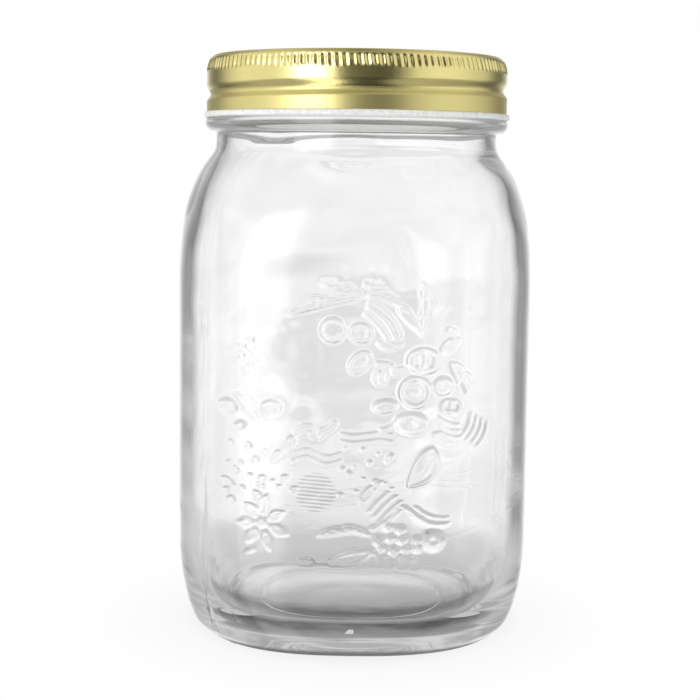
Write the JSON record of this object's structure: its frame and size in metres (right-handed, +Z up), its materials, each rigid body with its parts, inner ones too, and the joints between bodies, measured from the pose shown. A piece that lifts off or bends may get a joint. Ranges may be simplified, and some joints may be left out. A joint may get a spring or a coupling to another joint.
{
  "type": "square preserving jar with two-piece screw closure",
  "caption": "Rounded-square clear glass preserving jar with a raised fruit garland, closed by a flat sealing disc under a gold knurled screw band.",
  "frame": {"origin": "on the table under the jar's axis, at the centre of the foot", "axes": "+Z up along the jar's axis; the decorated flat side faces -Y, +X is to the right of it"},
  "size_m": [0.1016, 0.1016, 0.1665],
  "materials": {
    "clear_glass": "clear moulded soda-lime glass, slightly wavy",
    "gold_tinplate": "satin gold lacquer outside, white enamel inside and on the lower curl",
    "disc_tinplate": "satin gold lacquer on top, white enamel below",
    "sealing_compound": "matte off-white sealing compound"
  },
  "bodies": {
    "jar": {"glass_jar": "clear_glass"},
    "lid": {"lid_disc": "disc_tinplate", "seal_ring": "sealing_compound"},
    "band": {"screw_band": "gold_tinplate"}
  },
  "joints": [
    {"name": "closure_lift", "type": "slide", "parent": "jar", "child": "lid", "axis": [0, 0, 1], "range_m": [0, 0.0217]},
    {"name": "band_turn", "type": "hinge", "parent": "lid", "child": "band", "pos_m": [0, 0, 0.1575], "axis": [0, 0, 1], "range_deg": [0, 2160]}
  ],
  "couplings": [
    {"joint": "closure_lift", "follows": "band_turn", "m_per_rad": 0.00057296}
  ]
}
